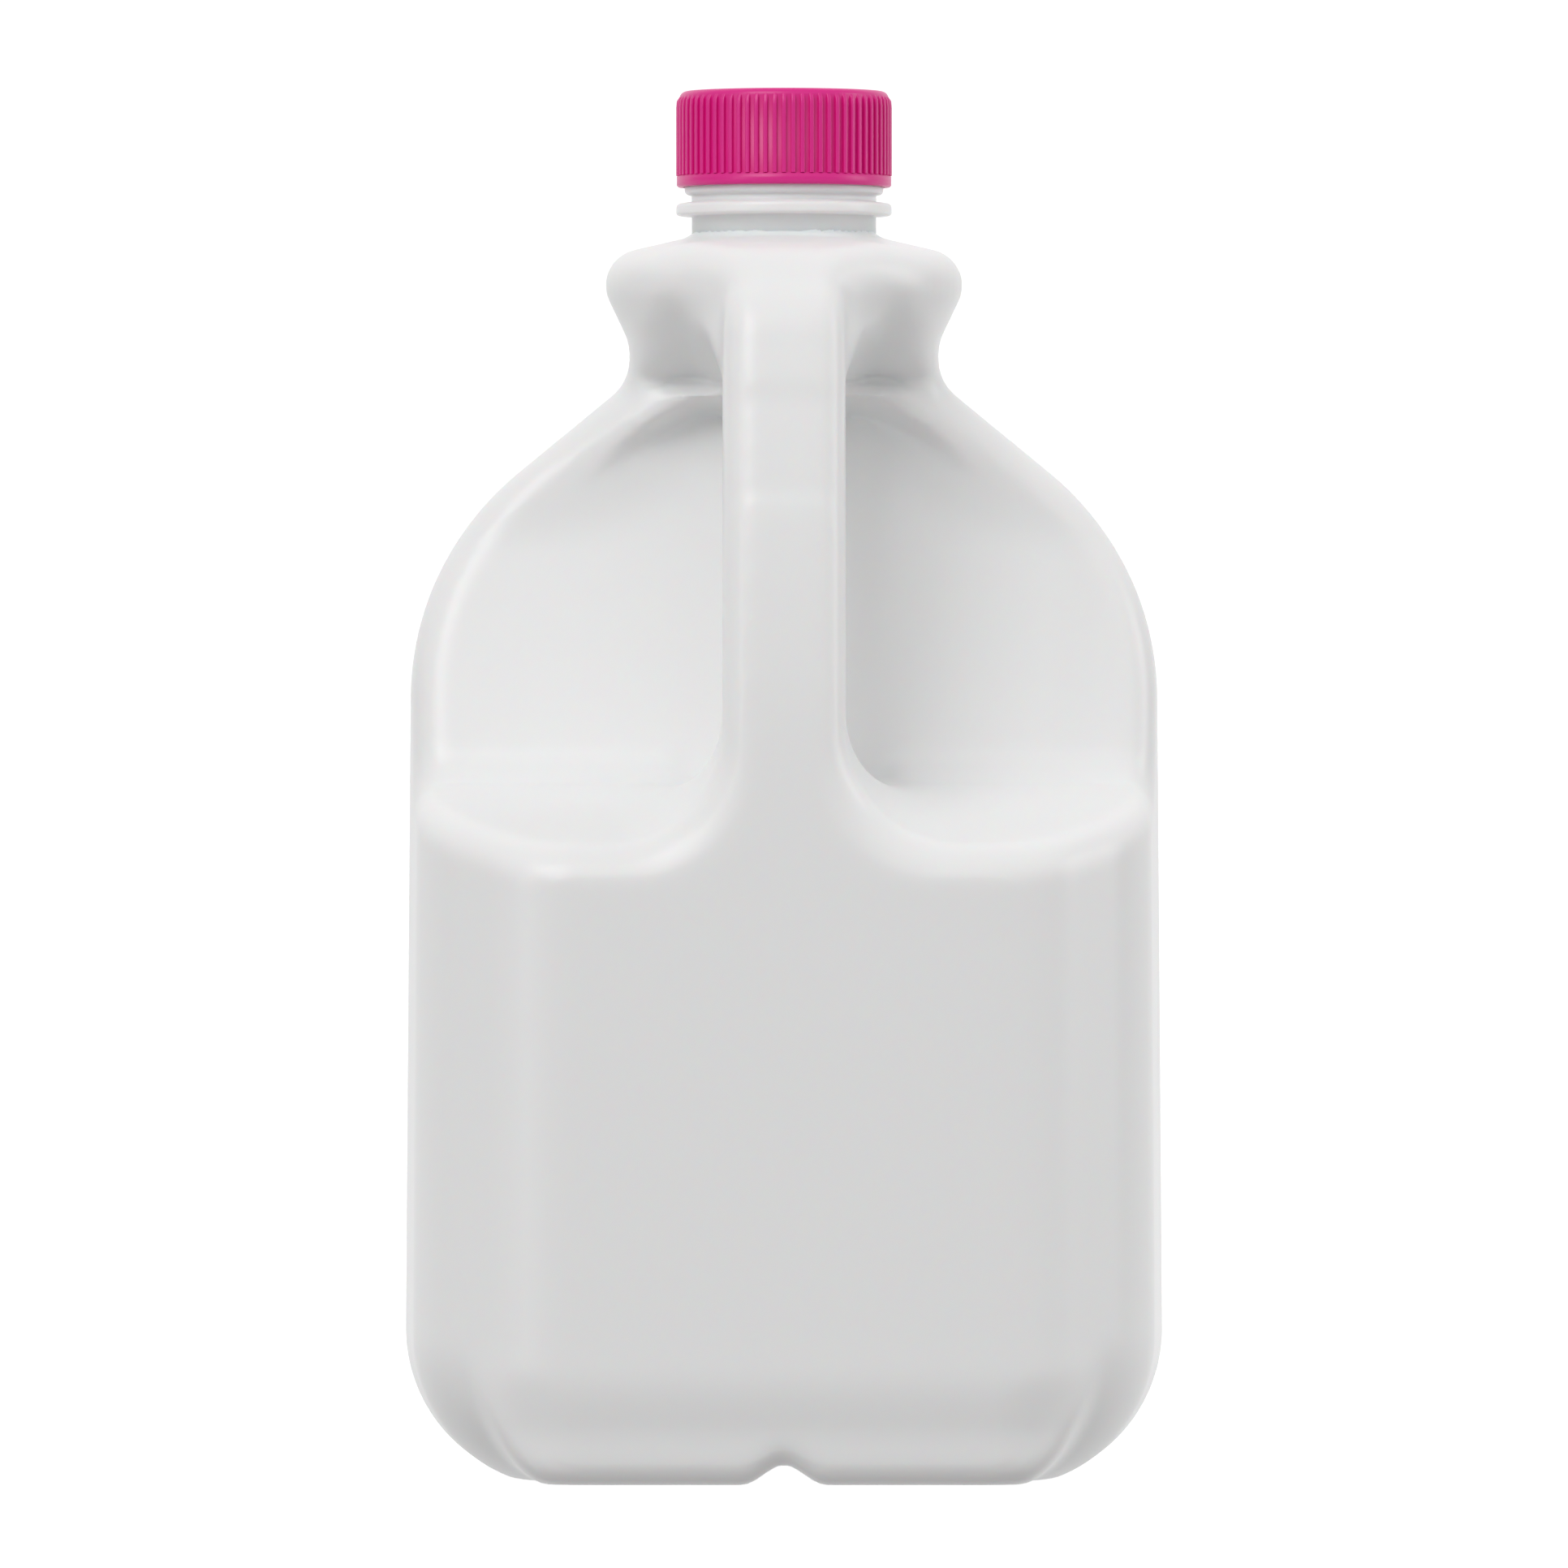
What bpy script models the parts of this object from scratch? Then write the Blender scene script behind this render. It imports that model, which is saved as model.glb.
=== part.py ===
"""A three quart almond milk jug with a handle, standing shut and full, and its ribbed screw cap.

The jug is one moulded piece, about 145 mm wide, 120 mm deep and 266 mm tall with its cap.
It stands on z = 0 with the middle of the cap over x = 0, y = 0.
The handle is at the back, on the -Y side.

The shape of the jug is kept as one rule: a number for each point of space, which is below
zero in the plastic and above zero outside it. Geometry Nodes works the rule out on a fine
grid and lays a skin where it is zero. The neck ring and the cap are turned.
"""
import math

import bmesh
import bpy

# Outline of the body seen from behind, in metres. The heel is round at the front and sides, and
# the base cuts its arc off a little above its lowest point. At the back the heel leans in below a
# fold and stands upright again at the foot.
HALF_WIDTH = 0.0727
SIDE_LEAN = 0.0075
SIDE_FOOT = 0.028
HEEL_RADIUS = 0.0300
HEEL_SINK = 0.0017
BACK_HEEL_RADIUS = 0.0050
BACK_HEEL_TOP = 0.0226
BACK_HEEL_LEAN = 0.30
BACK_HEEL_EASE = 0.0035
BACK_FOOT_TOP = 0.0115
BACK_FOOT_SHARE = 0.75
SHOULDER_RADIUS = 0.0556
SHOULDER_FROM_LEVEL = 39.7
SHOULDER_AT = (0.0527, 0.1913)
WAIST_RADIUS = 0.010
FLARE_FROM_UPRIGHT = 25.5
FLARE_AT = (0.0321, 0.2224)
DOME_ROLL = 0.0069
DOME_FROM_LEVEL = 13.0
DOME_AT = (0.0288, 0.2353)
NECK_RADIUS = 0.0174
NECK_FILLET = 0.0018
NECK_FROM = 0.2177
BODY_TOP = 0.2409

# Plan of the body: the corners are rounder at the front, and cut flat at the back.
HALF_DEPTH = 0.060
FRONT_CORNER = 0.036
BACK_CORNER = 0.016
CUT_LINE = 43.0
CUT_REACH = 0.0770
CUT_FOLD = 0.0065
BACK_TAPER = 0.07
HEEL_TURN = (-0.006, 0.018)
PLAN_ROUND_FROM = 0.1477
PLAN_ROUND_TO = 0.2097

# Groove under the base, along the parting line of the mould.
GROOVE_HEIGHT = 0.0038
GROOVE_HALF_WIDTH = 0.0080

# Recess for the hand: a floor that falls to the back, a low step, a leaning wall, a rim that
# comes forward at the top and less so at the sides, and the underside of the shoulders of the neck.
FLOOR_FALL = 18.2
FLOOR_AT = (-0.021, 0.1324)
WALL_FOOT = (-0.0175, 0.1317)
WALL_HEAD = (0.0045, 0.2057)
RIM_REACH = 0.0120
RIM_SIDE_SHARE = 0.45
RIM_SPAN = (0.012, 0.046)
RIM_RISE_FROM = 0.1770
RIM_RISE_TO = 0.2060
CREST_SPAN = (0.2072, 0.2118)
CREST_FALL = 0.55
CREST_SIDES = (0.018, 0.030)
CREST_SIDE_DROP = 0.0020
UNDERSIDE_FROM = (-0.0050, 0.2119)
UNDERSIDE_TO = (-0.0330, 0.2262)
STEP_LEAN = 46.0
STEP_AT = (-0.0163, 0.1362)
STEP_FILLET = 0.0018
STEP_SPAN = (0.015, 0.023)
STEP_FADE = 0.004
RECESS_FILLET = 0.002
RIM_INSET = 0.0072
RIM_TOP = 0.2078
RIM_TOP_ROUND = 0.008
RIM_SLOPE = 0.0045
RIM_GENTLE_SLOPE = 0.0200
BROW_FILLET = 0.003
EDGE_RADIUS = 0.0062

# Handle: a bowed bar that is wider behind its face where it meets the neck.
HANDLE_HALF_WIDTH = 0.0117
HANDLE_BACK_FOOT = (-0.0600, 0.1120)
HANDLE_BEND_RADIUS = 0.390
HANDLE_THICKNESS = 0.0205
HANDLE_CROWN_RADIUS = 0.022
HANDLE_CROWN_TURN = 58.5
HANDLE_CROWN_DROP = 0.0022
HANDLE_CROWN_BLEND = 0.006
HANDLE_FOOT_EASE = 0.002
HANDLE_SPARE = 0.0080
HANDLE_ROOT_GROWTH = 0.34
HANDLE_ROOT_LIMIT = 0.016
HANDLE_ROOT_END = (0.0, 0.2100)
HANDLE_ROOT_DEPTH = (0.006, 0.018)
HANDLE_ROOT_FROM = 0.2100
HANDLE_TURN_SPAN = (0.2045, 0.2105)
HOLE_TOP = 0.2087
HOLE_CORNER = 0.010
FOOT_FILLET = 0.021
ROOT_FILLET = 0.003
FOOT_BLEND_SPAN = (0.1479, 0.1979)

# Neck finish, as radius and height from the bottom up.
RING_PROFILE = (
    (0.01772, 0.2374),
    (0.01772, 0.24175),
    (0.0202, 0.2419),
    (0.0206, 0.2421),
    (0.0207, 0.2425),
    (0.0207, 0.2434),
    (0.0206, 0.2439),
    (0.0202, 0.2442),
    (0.0192, 0.24435),
    (0.0180, 0.24445),
    (0.01775, 0.2446),
    (0.01775, 0.2457),
    (0.0187, 0.2460),
    (0.0190, 0.2463),
    (0.0191, 0.2467),
    (0.0191, 0.2483),
    (0.0178, 0.2489),
    (0.0178, 0.2635),
    (0.0172, 0.2641),
)
RING_BURIED_RADIUS = 0.0120
RING_BURIED_HEIGHT = 0.2359
RING_STEPS = 48

# Cap.
CAP_BAND_RADIUS = 0.02064
CAP_BODY_RADIUS = 0.0201
CAP_RIB_HEIGHT = 0.00045
CAP_RIBS = 72
CAP_BOTTOM = 0.2474
CAP_BAND_TOP = 0.2494
CAP_RIB_FOOT = 0.2497
CAP_RIB_HEAD = 0.2633
CAP_TOP = 0.2661
CAP_TOP_EDGE = 0.0014
CAP_BORE = 0.01945
CAP_CEILING = 0.2645

# Fineness of the skin.
GRID_STEP = 0.0017
GRID_MARGIN = 0.004
JUG_TRIANGLES = 8500
# Corners closer than this after the neck is joined become one.
WELD_REACH = 0.00004

LINEAR_WHITE = (0.86, 0.86, 0.84, 1.0)
LINEAR_MAGENTA = (0.54, 0.028, 0.18, 1.0)


def start_clean():
    for obj in list(bpy.data.objects):
        bpy.data.objects.remove(obj)


def make_collection(name):
    collection = bpy.data.collections.new(name)
    bpy.context.scene.collection.children.link(collection)
    return collection


def make_material(name, colour, roughness):
    material = bpy.data.materials.new(name)
    material.use_nodes = True
    shader = material.node_tree.nodes["Principled BSDF"]
    shader.inputs["Base Color"].default_value = colour
    shader.inputs["Roughness"].default_value = roughness
    material.diffuse_color = colour
    return material


class Num:
    """A number that differs from point to point, held as a socket of a node tree."""

    tree = None

    def __init__(self, socket):
        self.socket = socket

    @classmethod
    def made(cls, operation, *values):
        node = cls.tree.nodes.new("ShaderNodeMath")
        node.operation = operation
        for slot, value in zip(node.inputs, values):
            if isinstance(value, Num):
                cls.tree.links.new(value.socket, slot)
            else:
                slot.default_value = value
        return cls(node.outputs[0])

    def __add__(self, other):
        return Num.made("ADD", self, other)

    def __radd__(self, other):
        return Num.made("ADD", other, self)

    def __sub__(self, other):
        return Num.made("SUBTRACT", self, other)

    def __rsub__(self, other):
        return Num.made("SUBTRACT", other, self)

    def __mul__(self, other):
        return Num.made("MULTIPLY", self, other)

    def __rmul__(self, other):
        return Num.made("MULTIPLY", other, self)

    def __neg__(self):
        return Num.made("MULTIPLY", self, -1.0)


def larger(a, b):
    return Num.made("MAXIMUM", a, b)


def smaller(a, b):
    return Num.made("MINIMUM", a, b)


def length(a, b):
    return Num.made("SQRT", a * a + b * b)


def ramp(value, start, end):
    """Rises softly from 0 to 1 between two values."""
    node = Num.tree.nodes.new("ShaderNodeMapRange")
    node.interpolation_type = "SMOOTHSTEP"
    Num.tree.links.new(value.socket, node.inputs["Value"])
    node.inputs["From Min"].default_value = start
    node.inputs["From Max"].default_value = end
    return Num(node.outputs["Result"])


def both(a, b, radius):
    """What two shapes share, with a round edge where they cross at about a right angle."""
    apart = Num.made("ABSOLUTE", a - b)
    near = smaller(apart, radius)
    arc = Num.made("SQRT", 2.0 * radius * radius - near * near)
    return 0.5 * (a + b + apart - near - arc) + radius


def either(a, b, radius):
    """Two shapes joined, with a round inner corner."""
    return -both(-a, -b, radius)


def corner(a, b, turn, radius):
    """What two flat sides share, with a true arc between them.

    turn is the angle in degrees from one side's outward direction to the other's.
    """
    cosine = math.cos(math.radians(turn))
    sine = math.sin(math.radians(turn))
    a_in = a + radius
    b_in = b + radius
    flat = larger(a_in, b_in)
    squares = a_in * a_in + b_in * b_in - 2.0 * cosine * (a_in * b_in)
    arc = Num.made("SQRT", larger(squares, 0.0)) * (1.0 / sine)
    inside_arc = smaller(a_in - b_in * cosine, b_in - a_in * cosine)
    chosen = Num.made("GREATER_THAN", inside_arc, 0.0)
    return flat + chosen * (arc - flat) - radius


def inner_corner(a, b, turn, radius):
    """Two flat sides joined, with a true arc in the inner corner."""
    return -corner(-a, -b, turn, radius)


def side(across, up, point, degrees):
    """Distance beyond a flat side through a point, whose outward direction is given by its
    angle above the across direction."""
    c = math.cos(math.radians(degrees))
    s = math.sin(math.radians(degrees))
    return across * c + up * s - (point[0] * c + point[1] * s)


def side_through(across, up, start, end):
    """Distance beyond the flat side on the left of the way from start to end."""
    angle = math.degrees(math.atan2(end[1] - start[1], end[0] - start[0])) + 90.0
    return side(across, up, start, angle)


def eased(value):
    """The value where it is above zero, easing in softly, and zero elsewhere."""
    return length(larger(value, 0.0), BACK_HEEL_EASE) - BACK_HEEL_EASE


def outline(across, up, base, backward):
    """The outline of the body from the heel to the neck."""
    shoulder_angle = 90.0 - SHOULDER_FROM_LEVEL
    dome_angle = 90.0 - DOME_FROM_LEVEL
    wall = across + (up - SIDE_FOOT) * SIDE_LEAN - HALF_WIDTH
    tuck = eased(BACK_HEEL_TOP - up) - BACK_FOOT_SHARE * eased(BACK_FOOT_TOP - up)
    wall = wall + backward * BACK_HEEL_LEAN * tuck
    heel = HEEL_RADIUS + backward * (BACK_HEEL_RADIUS - HEEL_RADIUS)
    shoulder = side(across, up, SHOULDER_AT, shoulder_angle)
    flare = side(across, up, FLARE_AT, -FLARE_FROM_UPRIGHT)
    dome = side(across, up, DOME_AT, dome_angle)
    rounded = both(wall, base - (1.0 - backward) * HEEL_SINK, heel)
    lower = larger(rounded, base)
    body = corner(lower, shoulder, shoulder_angle, SHOULDER_RADIUS)
    head = corner(flare, dome, dome_angle + FLARE_FROM_UPRIGHT, DOME_ROLL)
    bottle = inner_corner(body, head, shoulder_angle + FLARE_FROM_UPRIGHT, WAIST_RADIUS)
    neck = larger(across - NECK_RADIUS, NECK_FROM - up)
    bottle = inner_corner(bottle, neck, dome_angle, NECK_FILLET)
    return larger(bottle, up - BODY_TOP)


def plan_reach(x, y, z):
    """How far out a point lies in plan, measured as the half width it belongs to."""
    round_plan = ramp(z, PLAN_ROUND_FROM, PLAN_ROUND_TO)
    square = 1.0 - round_plan
    behind = Num.made("LESS_THAN", y, 0.0)
    deep = Num.made("ABSOLUTE", y)
    half = HALF_WIDTH
    corner_radius = FRONT_CORNER + behind * (BACK_CORNER - FRONT_CORNER)
    core_x = square * (half - corner_radius)
    core_y = square * (HALF_DEPTH - corner_radius)
    wide = x + behind * deep * square * BACK_TAPER
    out_x = wide - core_x
    out_y = deep - core_y
    reach = length(larger(out_x, 0.0), larger(out_y, 0.0)) + smaller(larger(out_x, out_y), 0.0)
    reach = reach + core_x
    backward = ramp(out_y - out_x, *HEEL_TURN)
    c = math.cos(math.radians(CUT_LINE))
    s = math.sin(math.radians(CUT_LINE))
    cut = x * c - y * s - CUT_REACH + half - round_plan * half
    return both(reach, cut, CUT_FOLD), backward


def handle_back(y, z):
    """Distance behind the bowed back of the handle: upright at its foot, leaning forward above."""
    above_foot = larger(z - HANDLE_BACK_FOOT[1], 0.0)
    return length(y - HANDLE_BACK_FOOT[0] - HANDLE_BEND_RADIUS, above_foot) - HANDLE_BEND_RADIUS


def brow_rim(x, z):
    """How far the rim over the recess comes forward of the wall."""
    lift = ramp(z, RIM_RISE_FROM, RIM_RISE_TO)
    d_line = both(outline(x, z, -z, 0.0) + RIM_INSET, z - RIM_TOP, RIM_TOP_ROUND)
    gentle = ramp(d_line, -RIM_GENTLE_SLOPE, 0.0)
    near_middle = 1.0 - ramp(x, *RIM_SPAN)
    inside = gentle + near_middle * (ramp(d_line, -RIM_SLOPE, 0.0) - gentle)
    crest = 1.0 - ramp(z, *CREST_SPAN) * (1.0 - ramp(x, *CREST_SIDES)) * CREST_FALL
    share = RIM_SIDE_SHARE + near_middle * (1.0 - RIM_SIDE_SHARE)
    return lift * inside * crest * share * RIM_REACH


def hand_recess(x, y, z):
    """What the recess leaves standing: all that lies in front of its wall and below its floor."""
    wall_lean = (WALL_HEAD[0] - WALL_FOOT[0]) / (WALL_HEAD[1] - WALL_FOOT[1])
    wall = (z - WALL_FOOT[1]) * wall_lean + WALL_FOOT[0] - brow_rim(x, z) - y
    step = side(y, z, STEP_AT, 180.0 - STEP_LEAN) + (1.0 - ramp(x, *STEP_SPAN)) * STEP_FADE
    floor = side(y, z, FLOOR_AT, 90.0 + FLOOR_FALL)
    underside = -side_through(y, z, UNDERSIDE_TO, UNDERSIDE_FROM)
    underside = underside - ramp(x, *CREST_SIDES) * CREST_SIDE_DROP
    kept = either(wall, step, STEP_FILLET)
    kept = inner_corner(kept, floor, 90.0 - FLOOR_FALL - STEP_LEAN, RECESS_FILLET)
    return either(kept, underside, BROW_FILLET)


def jug_rule(x_signed, y, z):
    """Below zero in the jug: body, recess and handle together."""
    x = Num.made("ABSOLUTE", x_signed)
    groove = (1.0 - ramp(x, 0.0, GROOVE_HALF_WIDTH)) * GROOVE_HEIGHT
    reach, backward = plan_reach(x, y, z)
    full = outline(reach, z, groove - z, backward)
    kept = hand_recess(x, y, z)

    back = handle_back(y, z)
    crown = side(y, z, (-DOME_AT[0], DOME_AT[1] - HANDLE_CROWN_DROP), 90.0 + DOME_FROM_LEVEL)
    bow = corner(back, crown, HANDLE_CROWN_TURN, HANDLE_CROWN_RADIUS)
    front = -both(back + HANDLE_THICKNESS, z - HOLE_TOP, HOLE_CORNER)

    # Up to the waist, the handle is a bar left standing between the two halves of the recess.
    slab = both(bow, x - HANDLE_HALF_WIDTH - HANDLE_SPARE, EDGE_RADIUS)
    slab = larger(slab, larger(PLAN_ROUND_FROM - z, y))
    hull = Num.made("SMOOTH_MAX", smaller(full, slab), back, HANDLE_FOOT_EASE)
    stick = both(x - HANDLE_HALF_WIDTH, front, EDGE_RADIUS)
    fillet = FOOT_FILLET + ramp(z, *FOOT_BLEND_SPAN) * (ROOT_FILLET - FOOT_FILLET)
    lower = both(hull, either(kept, stick, fillet), EDGE_RADIUS)

    # Above the waist, the bar widens behind its face and runs into the neck.
    web = smaller(larger(z - HANDLE_ROOT_FROM, 0.0), HANDLE_ROOT_LIMIT) * HANDLE_ROOT_GROWTH
    web = web * ramp(-back, *HANDLE_ROOT_DEPTH)
    bar = both(both(bow, x - HANDLE_HALF_WIDTH - web, EDGE_RADIUS), front, EDGE_RADIUS)
    bar = larger(bar, side(y, z, HANDLE_ROOT_END, 45.0))
    upper = either(both(full, kept, EDGE_RADIUS), bar, HANDLE_CROWN_BLEND)
    return lower + ramp(z, *HANDLE_TURN_SPAN) * (upper - lower)


def skin_tree(name, rule, low, high, step):
    """A node tree that lays a skin on the zero level of a rule."""
    tree = bpy.data.node_groups.new(name, "GeometryNodeTree")
    tree.interface.new_socket("Geometry", in_out="OUTPUT", socket_type="NodeSocketGeometry")
    Num.tree = tree
    position = tree.nodes.new("GeometryNodeInputPosition")
    parts = tree.nodes.new("ShaderNodeSeparateXYZ")
    tree.links.new(position.outputs[0], parts.inputs[0])
    value = -rule(Num(parts.outputs["X"]), Num(parts.outputs["Y"]), Num(parts.outputs["Z"]))
    grid = tree.nodes.new("GeometryNodeVolumeCube")
    tree.links.new(value.socket, grid.inputs["Density"])
    grid.inputs["Background"].default_value = -step
    grid.inputs["Min"].default_value = low
    grid.inputs["Max"].default_value = high
    for axis, start, end in zip("XYZ", low, high):
        grid.inputs["Resolution " + axis].default_value = int(round((end - start) / step)) + 1
    skin = tree.nodes.new("GeometryNodeVolumeToMesh")
    skin.inputs["Threshold"].default_value = 0.0
    tree.links.new(grid.outputs[0], skin.inputs["Volume"])
    end = tree.nodes.new("NodeGroupOutput")
    tree.links.new(skin.outputs[0], end.inputs[0])
    return tree


def smooth(mesh):
    mesh.polygons.foreach_set("use_smooth", [True] * len(mesh.polygons))


def freeze(obj):
    """Turns the modifiers of an object into plain mesh."""
    depsgraph = bpy.context.evaluated_depsgraph_get()
    result = bpy.data.meshes.new_from_object(obj.evaluated_get(depsgraph), depsgraph=depsgraph)
    old = obj.data
    obj.modifiers.clear()
    obj.data = result
    bpy.data.meshes.remove(old)


def build_body(collection):
    low = (-HALF_WIDTH - GRID_MARGIN, -HALF_DEPTH - GRID_MARGIN, -GRID_MARGIN)
    high = (HALF_WIDTH + GRID_MARGIN, HALF_DEPTH + GRID_MARGIN, BODY_TOP + GRID_MARGIN)
    tree = skin_tree("jug_form", jug_rule, low, high, GRID_STEP)
    body = bpy.data.objects.new("jug", bpy.data.meshes.new("jug"))
    collection.objects.link(body)
    form = body.modifiers.new("form", "NODES")
    form.node_group = tree
    triangles = body.modifiers.new("triangles", "TRIANGULATE")
    triangles.min_vertices = 4
    freeze(body)
    thin = body.modifiers.new("thin", "DECIMATE")
    thin.ratio = JUG_TRIANGLES / len(body.data.polygons)
    freeze(body)
    return body


def turned(name, profile, steps, collection):
    """A solid of revolution from a profile that runs down its outer side from the axis back to it."""
    mesh = bpy.data.meshes.new(name)
    mesh.from_pydata([(radius, 0.0, height) for radius, height in profile],
                     [(i, i + 1) for i in range(len(profile) - 1)], [])
    obj = bpy.data.objects.new(name, mesh)
    collection.objects.link(obj)
    screw = obj.modifiers.new("turn", "SCREW")
    screw.axis = "Z"
    screw.steps = steps
    screw.render_steps = steps
    screw.use_merge_vertices = True
    screw.merge_threshold = 0.00001
    freeze(obj)
    shape = bmesh.new()
    shape.from_mesh(obj.data)
    bmesh.ops.dissolve_degenerate(shape, dist=0.000001, edges=shape.edges)
    bmesh.ops.recalc_face_normals(shape, faces=shape.faces)
    shape.to_mesh(obj.data)
    shape.free()
    return obj


def build_ring(collection):
    profile = [(0.0, RING_PROFILE[-1][1] + 0.0001)]
    profile += list(reversed(RING_PROFILE))
    profile += [(RING_BURIED_RADIUS, RING_BURIED_HEIGHT), (0.0, RING_BURIED_HEIGHT)]
    return turned("neck_finish", profile, RING_STEPS, collection)


def build_jug(collection, helpers):
    jug = build_body(collection)
    ring = build_ring(helpers)
    join = jug.modifiers.new("neck", "BOOLEAN")
    join.operation = "UNION"
    join.solver = "EXACT"
    join.object = ring
    weld = jug.modifiers.new("weld", "WELD")
    weld.merge_threshold = WELD_REACH
    triangles = jug.modifiers.new("triangles", "TRIANGULATE")
    triangles.min_vertices = 4
    freeze(jug)
    return jug


def cap_profile():
    """Down the outer side of the cap from the middle of its top, then up its bore."""
    edge = CAP_TOP_EDGE
    profile = [(0.0, CAP_TOP), (CAP_BODY_RADIUS - 0.006, CAP_TOP - 0.0002)]
    for index in range(4):
        angle = math.radians(8.0 + 82.0 * index / 3.0)
        profile.append((CAP_BODY_RADIUS - edge + edge * math.sin(angle),
                        CAP_TOP - 0.0003 - edge + edge * math.cos(angle)))
    profile += [
        (CAP_BODY_RADIUS, CAP_RIB_HEAD - 0.0008),
        (CAP_BODY_RADIUS, CAP_RIB_FOOT + 0.0003),
        (CAP_BODY_RADIUS, CAP_RIB_FOOT),
        (CAP_BAND_RADIUS, CAP_BAND_TOP),
        (CAP_BAND_RADIUS, CAP_BOTTOM + 0.0003),
        (CAP_BAND_RADIUS - 0.0003, CAP_BOTTOM),
        (CAP_BORE, CAP_BOTTOM),
        (CAP_BORE, CAP_CEILING - 0.0008),
        (CAP_BORE - 0.0008, CAP_CEILING),
        (0.0, CAP_CEILING),
    ]
    return profile


def build_cap(collection):
    cap = turned("cap", cap_profile(), 2 * CAP_RIBS, collection)
    for vert in cap.data.vertices:
        radius = math.hypot(vert.co.x, vert.co.y)
        in_ribs = CAP_RIB_FOOT + 0.0001 < vert.co.z < CAP_TOP - 0.0015
        if radius < CAP_BORE + 0.0002 or not in_ribs:
            continue
        turn = math.atan2(vert.co.y, vert.co.x) * CAP_RIBS
        lift = CAP_RIB_HEIGHT if math.cos(turn) > 0.0 else 0.0
        vert.co.x *= (radius + lift) / radius
        vert.co.y *= (radius + lift) / radius
    return cap


def main():
    start_clean()
    jug_collection = make_collection("almond_milk_jug")
    helpers = make_collection("helpers")
    white = make_material("jug_plastic", LINEAR_WHITE, 0.35)
    magenta = make_material("cap_plastic", LINEAR_MAGENTA, 0.4)
    jug = build_jug(jug_collection, helpers)
    jug.data.materials.clear()
    jug.data.materials.append(white)
    cap = build_cap(jug_collection)
    cap.data.materials.append(magenta)
    smooth(jug.data)
    smooth(cap.data)
    for helper in helpers.objects:
        helper.hide_render = True
        helper.display_type = "WIRE"
    for obj in jug_collection.objects:
        corners = [round(v, 4) for v in obj.dimensions]
        print(obj.name, len(obj.data.polygons), "faces", corners)


main()
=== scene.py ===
# %% [markdown]
# # An almond milk jug, seen from the handle side
#
# A grocery jug of white plastic stands shut on a pale floor, with its handle towards the camera
# and a magenta screw cap on its neck. The frame, imported first, is the plain solid model of the
# same jug, with two nodes called `jug` and `cap`. This lesson puts finer pieces in their place,
# gives them plastic finishes and lights them softly.
#
# All lengths are in metres. The jug stands on z = 0, the handle is on the -Y side, and the
# parting line of the mould runs over x = 0.

import math

import bmesh
import bpy
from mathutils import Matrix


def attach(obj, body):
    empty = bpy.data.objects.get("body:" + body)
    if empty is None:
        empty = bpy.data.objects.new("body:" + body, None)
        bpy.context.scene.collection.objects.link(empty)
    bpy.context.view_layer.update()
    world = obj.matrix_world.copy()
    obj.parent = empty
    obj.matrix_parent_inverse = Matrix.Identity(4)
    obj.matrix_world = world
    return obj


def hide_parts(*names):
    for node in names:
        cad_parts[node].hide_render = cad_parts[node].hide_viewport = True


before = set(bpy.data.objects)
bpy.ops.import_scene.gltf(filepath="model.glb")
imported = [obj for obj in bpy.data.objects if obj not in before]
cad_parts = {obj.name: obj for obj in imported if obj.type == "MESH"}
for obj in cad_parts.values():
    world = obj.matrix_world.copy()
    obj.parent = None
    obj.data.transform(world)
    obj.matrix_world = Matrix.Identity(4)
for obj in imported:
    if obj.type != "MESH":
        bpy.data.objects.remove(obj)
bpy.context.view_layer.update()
scene = bpy.context.scene
print("frame:", sorted(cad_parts))

# %% [markdown]
# ## The camera
#
# The picture is taken level with the middle of the jug, from far away with a long lens, so the
# two sides look almost parallel. We could move the camera close and use a wide lens, but then the
# handle, which is nearer than the body, would look too large. The lens follows from the sensor,
# the distance and how wide a view the picture shows at the middle of the jug.

# %% camera
CAMERA_DISTANCE = 3.3
CAMERA_HEIGHT = 0.1327
VIEW_WIDTH = 0.3014
SENSOR_WIDTH = 36.0

camera_data = bpy.data.cameras.new("camera")
camera_data.sensor_width = SENSOR_WIDTH
camera_data.lens = SENSOR_WIDTH * CAMERA_DISTANCE / VIEW_WIDTH
camera_data.clip_end = 50.0
camera = bpy.data.objects.new("camera", camera_data)
camera.location = (0.0, -CAMERA_DISTANCE, CAMERA_HEIGHT)
camera.rotation_euler = (math.pi / 2, 0.0, 0.0)
scene.collection.objects.link(camera)
scene.camera = camera
print("camera lens", round(camera_data.lens), "mm")

# %% [markdown]
# ## Sums that become nodes
#
# A blow-moulded jug has hardly a flat face, and all its corners run into each other. We could push
# and bevel a mesh by hand, but each change would mean starting again. Instead the body is written
# down as a rule: a sum that is below zero inside the plastic and above zero outside it. Geometry
# Nodes then work the sum out at every point of a fine grid.
#
# Sums of nodes are hard to read as boxes and wires, so this small class wraps the output of a node.
# Adding, subtracting or multiplying such values adds Math nodes, and `node` makes any other node:
# its settings first, then a value or a link for each of its inputs. The same class serves the
# finishes further down.

# %% sums that become nodes


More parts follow.
